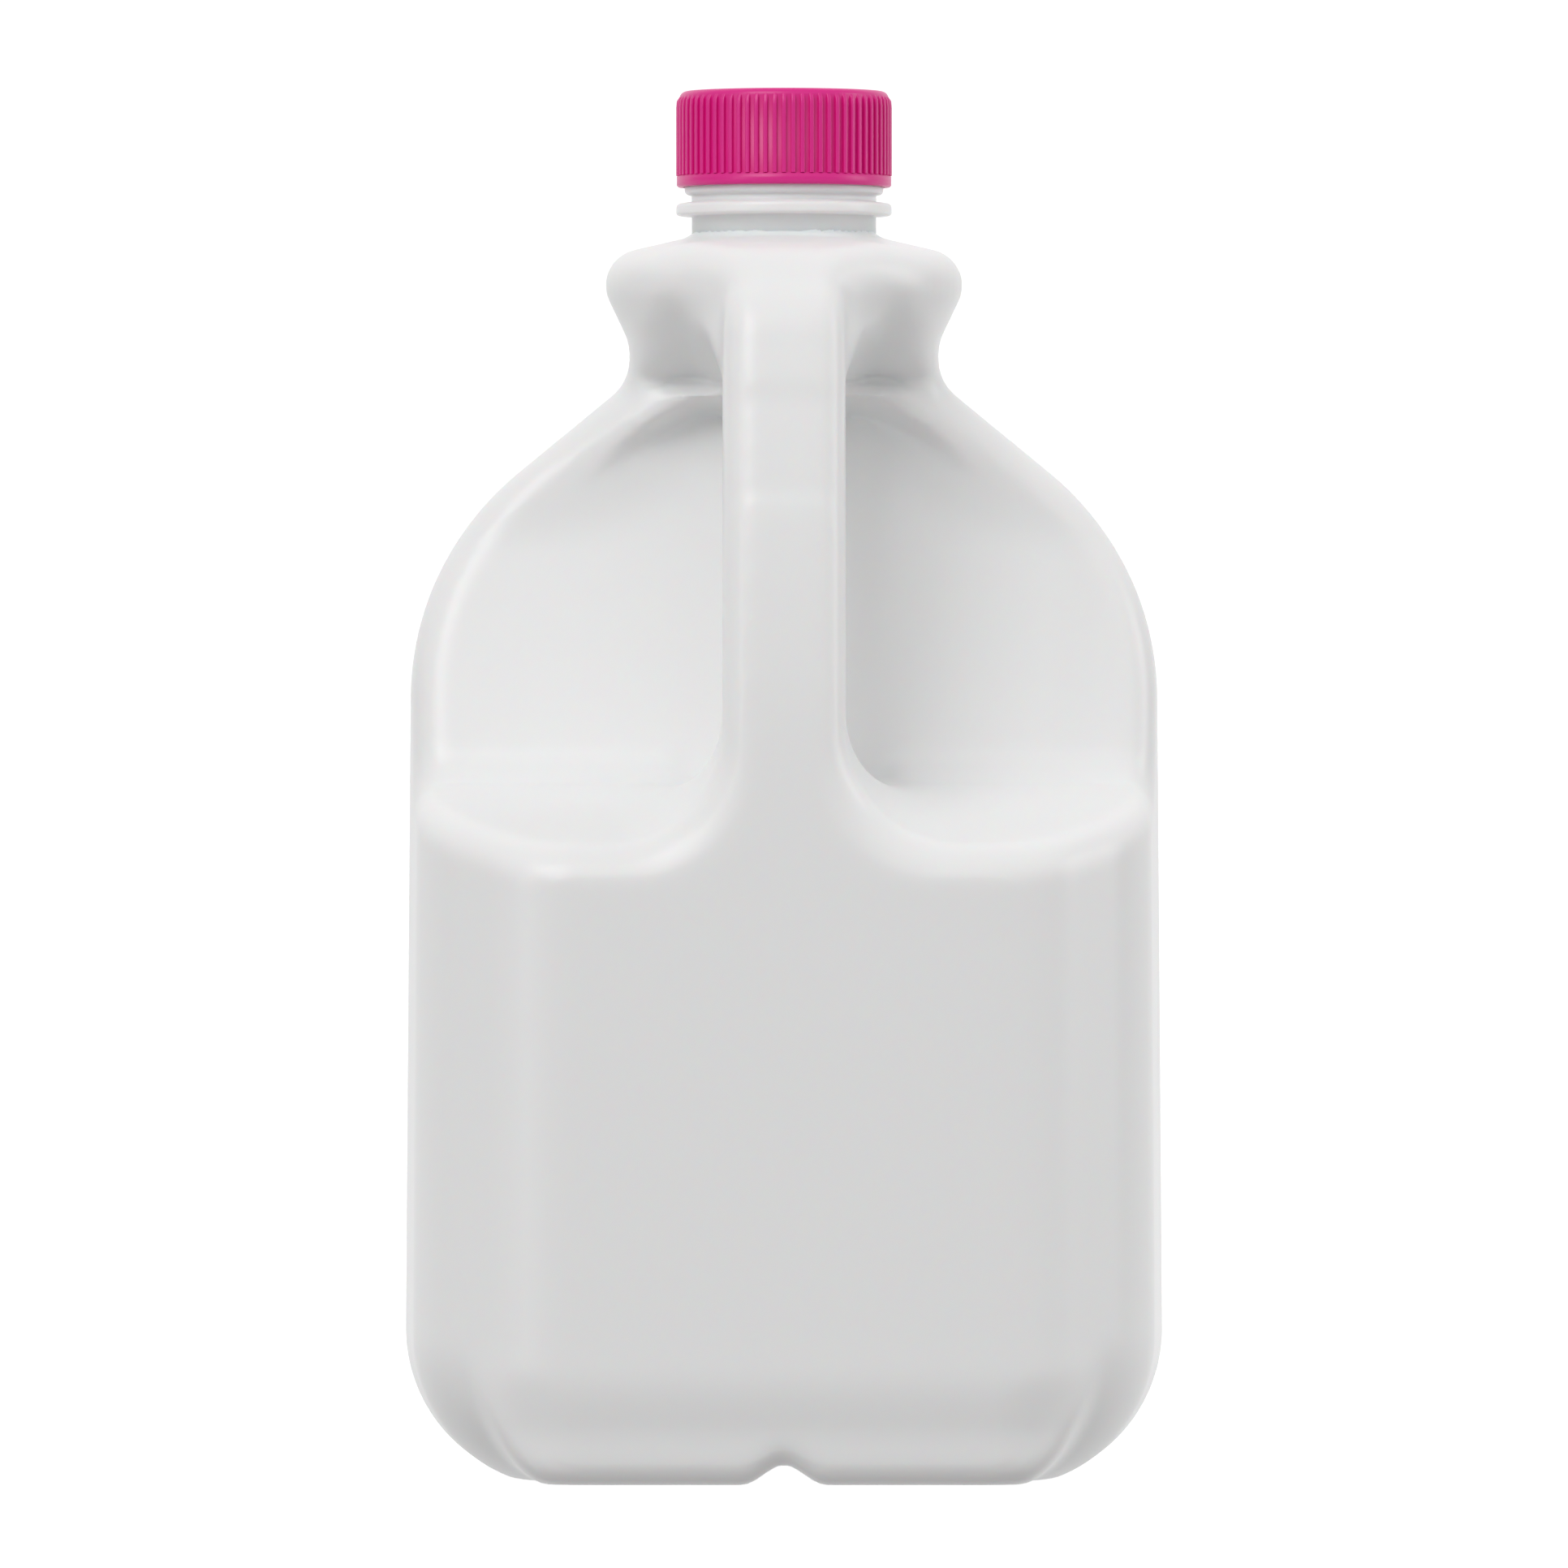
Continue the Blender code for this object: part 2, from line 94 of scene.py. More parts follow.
class Num:
    """A number that differs from point to point, held as an output of a node tree."""

    tree = None

    def __init__(self, socket):
        self.socket = socket

    @classmethod
    def node(cls, kind, settings, inputs, output=0):
        node = cls.tree.nodes.new(kind)
        for name, setting in settings.items():
            setattr(node, name, setting)
        for name, value in inputs.items():
            if isinstance(value, Num):
                cls.tree.links.new(value.socket, node.inputs[name])
            else:
                node.inputs[name].default_value = value
        return cls(node.outputs[output]) if len(node.outputs) else None

    @classmethod
    def made(cls, operation, *values):
        return cls.node("ShaderNodeMath", {"operation": operation}, dict(enumerate(values)))

    def output(self, name):
        """Another output of the same node."""
        return Num(self.socket.node.outputs[name])

    def __add__(self, other):
        return Num.made("ADD", self, other)

    def __radd__(self, other):
        return Num.made("ADD", other, self)

    def __sub__(self, other):
        return Num.made("SUBTRACT", self, other)

    def __rsub__(self, other):
        return Num.made("SUBTRACT", other, self)

    def __mul__(self, other):
        return Num.made("MULTIPLY", self, other)

    def __rmul__(self, other):
        return Num.made("MULTIPLY", other, self)

    def __truediv__(self, other):
        return Num.made("DIVIDE", self, other)

    def __neg__(self):
        return Num.made("MULTIPLY", self, -1.0)


def larger(a, b):
    return Num.made("MAXIMUM", a, b)


def smaller(a, b):
    return Num.made("MINIMUM", a, b)


def length(a, b):
    return Num.made("SQRT", a * a + b * b)


def ramp(value, start, end):
    """Rises softly from 0 to 1 between two values."""
    settings = {"interpolation_type": "SMOOTHSTEP"}
    inputs = {"Value": value, "From Min": start, "From Max": end}
    return Num.node("ShaderNodeMapRange", settings, inputs, "Result")


print("operators: + - * / and minus")

# %% [markdown]
# ## Joining shapes with round edges
#
# Each side of the body is a distance: how far a point lies beyond it. The larger of two distances
# is what two shapes share, and the smaller one is both shapes together. Used plainly, they meet in
# a knife edge, which no mould has. `both` and `either` put a round edge or a round inner corner
# there. `corner` does the same with a true arc, for two flat sides at a known angle.

# %% joining shapes


def both(a, b, radius):
    """What two shapes share, with a round edge where they cross at about a right angle."""
    apart = Num.made("ABSOLUTE", a - b)
    near = smaller(apart, radius)
    arc = Num.made("SQRT", 2.0 * radius * radius - near * near)
    return 0.5 * (a + b + apart - near - arc) + radius


def either(a, b, radius):
    """Two shapes joined, with a round inner corner."""
    return -both(-a, -b, radius)


def corner(a, b, turn, radius):
    """What two flat sides share, with a true arc between them.

    turn is the angle in degrees from one side's outward direction to the other's.
    """
    cosine = math.cos(math.radians(turn))
    sine = math.sin(math.radians(turn))
    a_in = a + radius
    b_in = b + radius
    flat = larger(a_in, b_in)
    squares = a_in * a_in + b_in * b_in - 2.0 * cosine * (a_in * b_in)
    arc = Num.made("SQRT", larger(squares, 0.0)) * (1.0 / sine)
    inside_arc = smaller(a_in - b_in * cosine, b_in - a_in * cosine)
    chosen = Num.made("GREATER_THAN", inside_arc, 0.0)
    return flat + chosen * (arc - flat) - radius


def inner_corner(a, b, turn, radius):
    """Two flat sides joined, with a true arc in the inner corner."""
    return -corner(-a, -b, turn, radius)


def side(across, up, point, degrees):
    """Distance beyond a flat side through a point, whose outward direction is given by its
    angle above the across direction."""
    c = math.cos(math.radians(degrees))
    s = math.sin(math.radians(degrees))
    return across * c + up * s - (point[0] * c + point[1] * s)


def side_through(across, up, start, end):
    """Distance beyond the flat side on the left of the way from start to end."""
    angle = math.degrees(math.atan2(end[1] - start[1], end[0] - start[0])) + 90.0
    return side(across, up, start, angle)


print("a right angle becomes an arc of the radius that is asked for")

# %% [markdown]
# ## The outline of the body
#
# Seen from behind, the jug is a tall body with round heels, sloping shoulders, a waist, and a
# rolled collar that domes up to the neck. The sides lean in a little, so that the jug leaves its
# mould. Each of these is one flat side with a point and an angle, and the arcs between them have
# the radii of the real jug. At the back, the heel is another: it leans in below a fold and stands
# upright again at the foot.

# %% outline
HALF_WIDTH = 0.0727
SIDE_LEAN = 0.0075
SIDE_FOOT = 0.028
HEEL_RADIUS = 0.0300
HEEL_SINK = 0.0017
BACK_HEEL_RADIUS = 0.0050
BACK_HEEL_TOP = 0.0226
BACK_HEEL_LEAN = 0.30
BACK_HEEL_EASE = 0.0035
BACK_FOOT_TOP = 0.0115
BACK_FOOT_SHARE = 0.75
SHOULDER_RADIUS = 0.0556
SHOULDER_FROM_LEVEL = 39.7
SHOULDER_AT = (0.0527, 0.1913)
WAIST_RADIUS = 0.010
FLARE_FROM_UPRIGHT = 25.5
FLARE_AT = (0.0321, 0.2224)
DOME_ROLL = 0.0069
DOME_FROM_LEVEL = 13.0
DOME_AT = (0.0288, 0.2353)
NECK_RADIUS = 0.0174
NECK_FILLET = 0.0018
NECK_FROM = 0.2177
BODY_TOP = 0.2409


def eased(value):
    """The value where it is above zero, easing in softly, and zero elsewhere."""
    return length(larger(value, 0.0), BACK_HEEL_EASE) - BACK_HEEL_EASE


def outline(across, up, base, backward):
    """The outline of the body from the heel to the neck."""
    shoulder_angle = 90.0 - SHOULDER_FROM_LEVEL
    dome_angle = 90.0 - DOME_FROM_LEVEL
    wall = across + (up - SIDE_FOOT) * SIDE_LEAN - HALF_WIDTH
    tuck = eased(BACK_HEEL_TOP - up) - BACK_FOOT_SHARE * eased(BACK_FOOT_TOP - up)
    wall = wall + backward * BACK_HEEL_LEAN * tuck
    heel = HEEL_RADIUS + backward * (BACK_HEEL_RADIUS - HEEL_RADIUS)
    shoulder = side(across, up, SHOULDER_AT, shoulder_angle)
    flare = side(across, up, FLARE_AT, -FLARE_FROM_UPRIGHT)
    dome = side(across, up, DOME_AT, dome_angle)
    rounded = both(wall, base - (1.0 - backward) * HEEL_SINK, heel)
    lower = larger(rounded, base)
    body = corner(lower, shoulder, shoulder_angle, SHOULDER_RADIUS)
    head = corner(flare, dome, dome_angle + FLARE_FROM_UPRIGHT, DOME_ROLL)
    bottle = inner_corner(body, head, shoulder_angle + FLARE_FROM_UPRIGHT, WAIST_RADIUS)
    neck = larger(across - NECK_RADIUS, NECK_FROM - up)
    bottle = inner_corner(bottle, neck, dome_angle, NECK_FILLET)
    return larger(bottle, up - BODY_TOP)


print("width of the body", round(2.0 * HALF_WIDTH, 4))

# %% [markdown]
# ## The plan of the body
#
# Seen from above, the body is an oblong with corners that are rounder at the front. At the back
# they are cut flat, so the panel under the handle stands between two slanting faces. Going up, the
# plan turns into the circle of the neck. `plan_reach` says how far out a point lies, as the half
# width of the outline that it belongs to, so that one outline serves all the way round.

# %% plan
HALF_DEPTH = 0.060
FRONT_CORNER = 0.036
BACK_CORNER = 0.016
CUT_LINE = 43.0
CUT_REACH = 0.0770
CUT_FOLD = 0.0065
BACK_TAPER = 0.07
HEEL_TURN = (-0.006, 0.018)
PLAN_ROUND_FROM = 0.1477
PLAN_ROUND_TO = 0.2097


def plan_reach(x, y, z):
    """How far out a point lies in plan, measured as the half width it belongs to."""
    round_plan = ramp(z, PLAN_ROUND_FROM, PLAN_ROUND_TO)
    square = 1.0 - round_plan
    behind = Num.made("LESS_THAN", y, 0.0)
    deep = Num.made("ABSOLUTE", y)
    half = HALF_WIDTH
    corner_radius = FRONT_CORNER + behind * (BACK_CORNER - FRONT_CORNER)
    core_x = square * (half - corner_radius)
    core_y = square * (HALF_DEPTH - corner_radius)
    wide = x + behind * deep * square * BACK_TAPER
    out_x = wide - core_x
    out_y = deep - core_y
    reach = length(larger(out_x, 0.0), larger(out_y, 0.0)) + smaller(larger(out_x, out_y), 0.0)
    reach = reach + core_x
    backward = ramp(out_y - out_x, *HEEL_TURN)
    c = math.cos(math.radians(CUT_LINE))
    s = math.sin(math.radians(CUT_LINE))
    cut = x * c - y * s - CUT_REACH + half - round_plan * half
    return both(reach, cut, CUT_FOLD), backward


print("depth of the body", round(2.0 * HALF_DEPTH, 4))

# %% [markdown]
# ## The recess for the hand
#
# Behind the handle, the body is pushed in on both sides to make room for the fingers: a floor that
# falls towards the back, a low step, and a wall that leans forward on its way up. Near its top the
# wall swells into a rim under the collar, and above that it runs back under the collar, which
# hangs over it like a brow. `hand_recess` is what the recess leaves standing.

# %% recess
FLOOR_FALL = 18.2
FLOOR_AT = (-0.021, 0.1324)
WALL_FOOT = (-0.0175, 0.1317)
WALL_HEAD = (0.0045, 0.2057)
STEP_LEAN = 46.0
STEP_AT = (-0.0163, 0.1362)
STEP_FILLET = 0.0018
STEP_SPAN = (0.015, 0.023)
STEP_FADE = 0.004
RECESS_FILLET = 0.002
RIM_INSET = 0.0072
RIM_TOP = 0.2078
RIM_TOP_ROUND = 0.008
RIM_SLOPE = 0.0045
RIM_GENTLE_SLOPE = 0.0200
RIM_REACH = 0.0120
RIM_SIDE_SHARE = 0.45
RIM_SPAN = (0.012, 0.046)
RIM_RISE_FROM = 0.1770
RIM_RISE_TO = 0.2060
CREST_SPAN = (0.2072, 0.2118)
CREST_FALL = 0.55
CREST_SIDES = (0.018, 0.030)
CREST_SIDE_DROP = 0.0020
UNDERSIDE_FROM = (-0.0050, 0.2119)
UNDERSIDE_TO = (-0.0330, 0.2262)
BROW_FILLET = 0.003


def brow_rim(x, z):
    """How far the rim over the recess comes forward of the wall."""
    lift = ramp(z, RIM_RISE_FROM, RIM_RISE_TO)
    d_line = both(outline(x, z, -z, 0.0) + RIM_INSET, z - RIM_TOP, RIM_TOP_ROUND)
    gentle = ramp(d_line, -RIM_GENTLE_SLOPE, 0.0)
    near_middle = 1.0 - ramp(x, *RIM_SPAN)
    inside = gentle + near_middle * (ramp(d_line, -RIM_SLOPE, 0.0) - gentle)
    crest = 1.0 - ramp(z, *CREST_SPAN) * (1.0 - ramp(x, *CREST_SIDES)) * CREST_FALL
    share = RIM_SIDE_SHARE + near_middle * (1.0 - RIM_SIDE_SHARE)
    return lift * inside * crest * share * RIM_REACH


def hand_recess(x, y, z):
    """What the recess leaves standing: all that lies in front of its wall and below its floor."""
    wall_lean = (WALL_HEAD[0] - WALL_FOOT[0]) / (WALL_HEAD[1] - WALL_FOOT[1])
    wall = (z - WALL_FOOT[1]) * wall_lean + WALL_FOOT[0] - brow_rim(x, z) - y
    step = side(y, z, STEP_AT, 180.0 - STEP_LEAN) + (1.0 - ramp(x, *STEP_SPAN)) * STEP_FADE
    floor = side(y, z, FLOOR_AT, 90.0 + FLOOR_FALL)
    underside = -side_through(y, z, UNDERSIDE_TO, UNDERSIDE_FROM)
    underside = underside - ramp(x, *CREST_SIDES) * CREST_SIDE_DROP
    kept = either(wall, step, STEP_FILLET)
    kept = inner_corner(kept, floor, 90.0 - FLOOR_FALL - STEP_LEAN, RECESS_FILLET)
    return either(kept, underside, BROW_FILLET)


print("the wall of the recess leans", round(math.degrees(math.atan2(
    WALL_HEAD[0] - WALL_FOOT[0], WALL_HEAD[1] - WALL_FOOT[1])), 1), "degrees")

# %% [markdown]
# ## The handle, and the whole rule
#
# The handle is a bowed bar with a flat back. At its foot it spreads into the panel below, and at
# its head it bends over into the dome of the collar. Up to the waist it is the slab that is left
# standing between the two halves of the recess. Above the waist it is a bar that widens behind its
# face. The two descriptions agree where they meet, so they are simply faded into each other.

# %% handle
GROOVE_HALF_WIDTH = 0.0080
EDGE_RADIUS = 0.0062
HANDLE_BACK_FOOT = (-0.0600, 0.1120)
HANDLE_BEND_RADIUS = 0.390
HANDLE_CROWN_RADIUS = 0.022
HANDLE_CROWN_TURN = 58.5
HANDLE_CROWN_DROP = 0.0022
HANDLE_CROWN_BLEND = 0.006
HANDLE_FOOT_EASE = 0.002
HANDLE_SPARE = 0.0080
HANDLE_ROOT_GROWTH = 0.34
HANDLE_ROOT_LIMIT = 0.016
HANDLE_ROOT_END = (0.0, 0.2100)
HANDLE_ROOT_DEPTH = (0.006, 0.018)
HANDLE_ROOT_FROM = 0.2100
HANDLE_TURN_SPAN = (0.2045, 0.2105)
HOLE_TOP = 0.2087
HOLE_CORNER = 0.010
FOOT_FILLET = 0.021
ROOT_FILLET = 0.003
FOOT_BLEND_SPAN = (0.1479, 0.1979)


def handle_back(y, z):
    """Distance behind the bowed back of the handle: upright at its foot, leaning in above."""
    above_foot = larger(z - HANDLE_BACK_FOOT[1], 0.0)
    across = y - HANDLE_BACK_FOOT[0] - HANDLE_BEND_RADIUS
    return length(across, above_foot) - HANDLE_BEND_RADIUS


def jug_rule(x_signed, y, z, half_bar, bar_depth, groove_height):
    """Below zero in the jug: body, recess and handle together."""
    x = Num.made("ABSOLUTE", x_signed)
    groove = (1.0 - ramp(x, 0.0, GROOVE_HALF_WIDTH)) * groove_height
    reach, backward = plan_reach(x, y, z)
    full = outline(reach, z, groove - z, backward)
    kept = hand_recess(x, y, z)

    back = handle_back(y, z)
    crown = side(y, z, (-DOME_AT[0], DOME_AT[1] - HANDLE_CROWN_DROP), 90.0 + DOME_FROM_LEVEL)
    bow = corner(back, crown, HANDLE_CROWN_TURN, HANDLE_CROWN_RADIUS)
    front = -both(back + bar_depth, z - HOLE_TOP, HOLE_CORNER)

    slab = both(bow, x - half_bar - HANDLE_SPARE, EDGE_RADIUS)
    slab = larger(slab, larger(PLAN_ROUND_FROM - z, y))
    hull = Num.made("SMOOTH_MAX", smaller(full, slab), back, HANDLE_FOOT_EASE)
    stick = both(x - half_bar, front, EDGE_RADIUS)
    fillet = FOOT_FILLET + ramp(z, *FOOT_BLEND_SPAN) * (ROOT_FILLET - FOOT_FILLET)
    lower = both(hull, either(kept, stick, fillet), EDGE_RADIUS)

    web = smaller(larger(z - HANDLE_ROOT_FROM, 0.0), HANDLE_ROOT_LIMIT) * HANDLE_ROOT_GROWTH
    web = web * ramp(-back, *HANDLE_ROOT_DEPTH)
    bar = both(both(bow, x - half_bar - web, EDGE_RADIUS), front, EDGE_RADIUS)
    bar = larger(bar, side(y, z, HANDLE_ROOT_END, 45.0))
    upper = either(both(full, kept, EDGE_RADIUS), bar, HANDLE_CROWN_BLEND)
    return lower + ramp(z, *HANDLE_TURN_SPAN) * (upper - lower)


print("gap behind the handle ends at", HOLE_TOP)

# %% [markdown]
# ## The skin of the body
#
# Now the rule becomes a mesh. The tree fills a box with a grid, works the rule out at every grid
# point, and lays a skin where the result is zero. The sizes that we may want to try out are named
# inputs of the tree. They are set on the modifier by the identifier of each socket, before the
# object is evaluated for the first time. A last pair of nodes makes the result real geometry and
# gives it its plastic. Then the result is kept as a plain mesh and the modifier is taken off.

# %% skin tree


def start_tree(name, inputs):
    """A new tree of Geometry Nodes with named inputs, given as a dictionary of name and type."""
    tree = bpy.data.node_groups.new(name, "GeometryNodeTree")
    tree.interface.new_socket("Geometry", in_out="OUTPUT", socket_type="NodeSocketGeometry")
    for label, kind in inputs.items():
        tree.interface.new_socket(label, in_out="INPUT", socket_type="NodeSocket" + kind)
    Num.tree = tree
    return Num.node("NodeGroupInput", {}, {}, next(iter(inputs)))


def end_tree(geometry, material):
    """Ends a tree with real geometry of one material."""
    real = Num.node("GeometryNodeRealizeInstances", {}, {"Geometry": geometry})
    dressed = Num.node("GeometryNodeSetMaterial", {}, {"Geometry": real, "Material": material})
    smooth = Num.node("GeometryNodeSetShadeSmooth", {}, {"Geometry": dressed})
    Num.node("NodeGroupOutput", {}, {"Geometry": smooth})


def from_tree(name, tree, values):
    """An object whose plain mesh is what the tree makes with these values of its inputs."""
    piece = bpy.data.objects.new(name, bpy.data.meshes.new(name))
    scene.collection.objects.link(piece)
    form = piece.modifiers.new("form", "NODES")
    form.node_group = tree
    for socket in tree.interface.items_tree:
        if socket.in_out == "INPUT":
            form[socket.identifier] = values[socket.name]
    keep_result(piece)
    return piece


def keep_result(piece):
    """Turns the modifiers of a piece into plain mesh."""
    depsgraph = bpy.context.evaluated_depsgraph_get()
    result = bpy.data.meshes.new_from_object(piece.evaluated_get(depsgraph), depsgraph=depsgraph)
    plain = piece.data
    piece.modifiers.clear()
    piece.data = result
    bpy.data.meshes.remove(plain)


given = start_tree("jug_form", {
    "Low Corner": "Vector",
    "High Corner": "Vector",
    "Grid Step": "Float",
    "Handle Half Width": "Float",
    "Handle Depth": "Float",
    "Groove Height": "Float",
    "Plastic": "Material",
})
place = Num.node("GeometryNodeInputPosition", {}, {})
x = Num.node("ShaderNodeSeparateXYZ", {}, {"Vector": place}, "X")
rule = jug_rule(x, x.output("Y"), x.output("Z"), given.output("Handle Half Width"),
                given.output("Handle Depth"), given.output("Groove Height"))
span = Num.node("ShaderNodeVectorMath", {"operation": "SUBTRACT"},
                {0: given.output("High Corner"), 1: given.output("Low Corner")})
span_x = Num.node("ShaderNodeSeparateXYZ", {}, {"Vector": span}, "X")
step = given.output("Grid Step")
grid = Num.node("GeometryNodeVolumeCube", {}, {
    "Density": -rule,
    "Background": -step,
    "Min": given.output("Low Corner"),
    "Max": given.output("High Corner"),
    "Resolution X": span_x / step + 1.5,
    "Resolution Y": span_x.output("Y") / step + 1.5,
    "Resolution Z": span_x.output("Z") / step + 1.5,
})
skin = Num.node("GeometryNodeVolumeToMesh", {}, {"Volume": grid, "Threshold": 0.0})
end_tree(skin, given.output("Plastic"))
jug_form = Num.tree
print("the rule has", len(jug_form.nodes), "nodes")

# %% [markdown]
# ## Two plastics
#
# The jug is white polyethylene, a little milky: light goes in and comes out again nearby, so its
# shadows are soft. A thin-walled jug is never quite even, so its gloss differs a little from place
# to place and a faint wave runs over the skin. Both come from noise on the object's own
# coordinates, which stays in place however the jug is turned. The cap is moulded in a harder,
# glossier magenta plastic, and a fine grain lies on it.

# %% plastics
JUG_WHITE = (0.87, 0.87, 0.87, 1.0)
CAP_MAGENTA = (0.73, 0.004, 0.24, 1.0)
JUG_MILKINESS = 0.25
MILKINESS_DEPTH = 0.004
JUG_GLOSS = (0.32, 0.04)
JUG_WAVES = (0.030, 0.00008)
CAP_GLOSS = (0.35, 0.06)
CAP_GRAIN = (0.0012, 0.00001)


def plastic(name, colour, milky, gloss, grain):
    """A plastic. gloss is its roughness and how much that differs from place to place, and grain
    is the size of the waves on its skin and their height."""
    material = bpy.data.materials.new(name)
    material.use_nodes = True
    Num.tree = material.node_tree
    shader = material.node_tree.nodes["Principled BSDF"]
    shader.inputs["Base Color"].default_value = colour
    shader.inputs["Subsurface Weight"].default_value = milky
    shader.inputs["Subsurface Scale"].default_value = MILKINESS_DEPTH
    where = Num.node("ShaderNodeTexCoord", {}, {}, "Object")
    waves = Num.node("ShaderNodeTexNoise", {}, {"Vector": where, "Scale": 1.0 / grain[0]})
    rough = gloss[0] + (waves - 0.5) * gloss[1]
    bump = Num.node("ShaderNodeBump", {}, {"Height": waves, "Distance": grain[1]})
    material.node_tree.links.new(rough.socket, shader.inputs["Roughness"])
    material.node_tree.links.new(bump.socket, shader.inputs["Normal"])
    return material


white = plastic("jug_white", JUG_WHITE, JUG_MILKINESS, JUG_GLOSS, JUG_WAVES)
magenta = plastic("cap_magenta", CAP_MAGENTA, 0.0, CAP_GLOSS, CAP_GRAIN)
print("plastics:", white.name, magenta.name)

# %% [markdown]
# ## The body
#
# The grid is fine enough for the small fillets in the recess, yet the whole body takes only a few
# seconds. Four millimetres of air around it keep the skin closed at the edge of the grid.

# %% body
GRID_STEP = 0.00126
GRID_MARGIN = 0.004
HANDLE_HALF_WIDTH = 0.0117
HANDLE_DEPTH = 0.0205
GROOVE_HEIGHT = 0.0038

body = from_tree("jug_body", jug_form, {
    "Low Corner": (-HALF_WIDTH - GRID_MARGIN, -HALF_DEPTH - GRID_MARGIN, -GRID_MARGIN),
    "High Corner": (HALF_WIDTH + GRID_MARGIN, HALF_DEPTH + GRID_MARGIN, BODY_TOP + GRID_MARGIN),
    "Grid Step": GRID_STEP,
    "Handle Half Width": HANDLE_HALF_WIDTH,
    "Handle Depth": HANDLE_DEPTH,
    "Groove Height": GROOVE_HEIGHT,
    "Plastic": white,
})
print("body", len(body.data.polygons), "faces", [round(v, 4) for v in body.dimensions])

# %% [markdown]
# ## The neck finish
#
# The neck is round, so it is turned: a profile in radius and height, spun once about the axis with
# a Screw modifier. From the bottom up it has the collar that the filling machine holds the jug by,
# a smaller bead, and the plain neck that the cap hides. It starts inside the dome, so that no gap
# shows there.

# %% neck
NECK_PROFILE = (
    (0.01772, 0.2374),
    (0.01772, 0.24175),
    (0.0202, 0.2419),
    (0.0206, 0.2421),
    (0.0207, 0.2425),
    (0.0207, 0.2434),
    (0.0206, 0.2439),
    (0.0202, 0.2442),
    (0.0192, 0.24435),
    (0.0180, 0.24445),
    (0.01775, 0.2446),
    (0.01775, 0.2457),
    (0.0187, 0.2460),
    (0.0190, 0.2463),
    (0.0191, 0.2467),
    (0.0191, 0.2483),
    (0.0178, 0.2489),
    (0.0178, 0.2635),
    (0.0172, 0.2641),
)
NECK_LID = 0.2642
NECK_BURIED_RADIUS = 0.0120
NECK_BURIED_HEIGHT = 0.2359
NECK_STEPS = 192


def turned(name, profile, steps, material):
    """A solid of revolution from a profile that runs down its outer side and back to the axis."""
    mesh = bpy.data.meshes.new(name)
    mesh.from_pydata([(radius, 0.0, height) for radius, height in profile],
                     [(i, i + 1) for i in range(len(profile) - 1)], [])
    piece = bpy.data.objects.new(name, mesh)
    scene.collection.objects.link(piece)
    screw = piece.modifiers.new("turn", "SCREW")
    screw.axis = "Z"
    screw.steps = steps
    screw.render_steps = steps
    screw.use_merge_vertices = True
    screw.merge_threshold = 0.00001
    keep_result(piece)
    shape = bmesh.new()
    shape.from_mesh(piece.data)
    bmesh.ops.dissolve_degenerate(shape, dist=0.000001, edges=shape.edges)
    bmesh.ops.recalc_face_normals(shape, faces=shape.faces)
    shape.to_mesh(piece.data)
    shape.free()
    piece.data.materials.append(material)
    return piece


def shade_smooth(piece):
    piece.data.polygons.foreach_set("use_smooth", [True] * len(piece.data.polygons))


neck_profile = [(0.0, NECK_LID)] + list(reversed(NECK_PROFILE))
neck_profile += [(NECK_BURIED_RADIUS, NECK_BURIED_HEIGHT), (0.0, NECK_BURIED_HEIGHT)]
neck = turned("neck_finish", neck_profile, NECK_STEPS, white)
shade_smooth(neck)
print("neck", len(neck.data.polygons), "faces", [round(v, 4) for v in neck.dimensions])

# %% [markdown]
# ## The shell of the cap
#
# The cap is a cup turned upside down, with a smooth top whose edge is rolled, and a plain band
# round its foot. The shell is turned like the neck. It keeps its flat shading below the rolled
# edge, where its steps are real edges, and the top is so flat that no facet shows.

# %% cap shell
CAP_BAND_RADIUS = 0.02062
CAP_BODY_RADIUS = 0.0201
CAP_BOTTOM = 0.2474
CAP_BAND_TOP = 0.2494
CAP_RIB_FOOT = 0.2497
CAP_TOP = 0.2661
CAP_TOP_EDGE = 0.0014
CAP_BORE = 0.01945
CAP_CEILING = 0.2645
CAP_CROWN_INSET = 0.006
CAP_CROWN_FALL = 0.0002
CAP_EDGE_FALL = 0.0003
CAP_EDGE_FROM = 8.0
CAP_FOOT_BEVEL = 0.0003
CAP_BORE_BEVEL = 0.0008
CAP_STEPS = 288
CAP_EDGE_STEPS = 8


def cap_profile():
    """Down the outer side of the cap from the middle of its top, then up its bore."""
    middle = (CAP_BODY_RADIUS - CAP_TOP_EDGE, CAP_TOP - CAP_EDGE_FALL - CAP_TOP_EDGE)
    profile = [(0.0, CAP_TOP), (CAP_BODY_RADIUS - CAP_CROWN_INSET, CAP_TOP - CAP_CROWN_FALL)]
    for index in range(CAP_EDGE_STEPS + 1):
        share = index / CAP_EDGE_STEPS
        angle = math.radians(CAP_EDGE_FROM + (90.0 - CAP_EDGE_FROM) * share)
        profile.append((middle[0] + CAP_TOP_EDGE * math.sin(angle),
                        middle[1] + CAP_TOP_EDGE * math.cos(angle)))
    return profile + [
        (CAP_BODY_RADIUS, CAP_RIB_FOOT),
        (CAP_BAND_RADIUS, CAP_BAND_TOP),
        (CAP_BAND_RADIUS, CAP_BOTTOM + CAP_FOOT_BEVEL),
        (CAP_BAND_RADIUS - CAP_FOOT_BEVEL, CAP_BOTTOM),
        (CAP_BORE, CAP_BOTTOM),
        (CAP_BORE, CAP_CEILING - CAP_BORE_BEVEL),
        (CAP_BORE - CAP_BORE_BEVEL, CAP_CEILING),
        (0.0, CAP_CEILING),
    ]


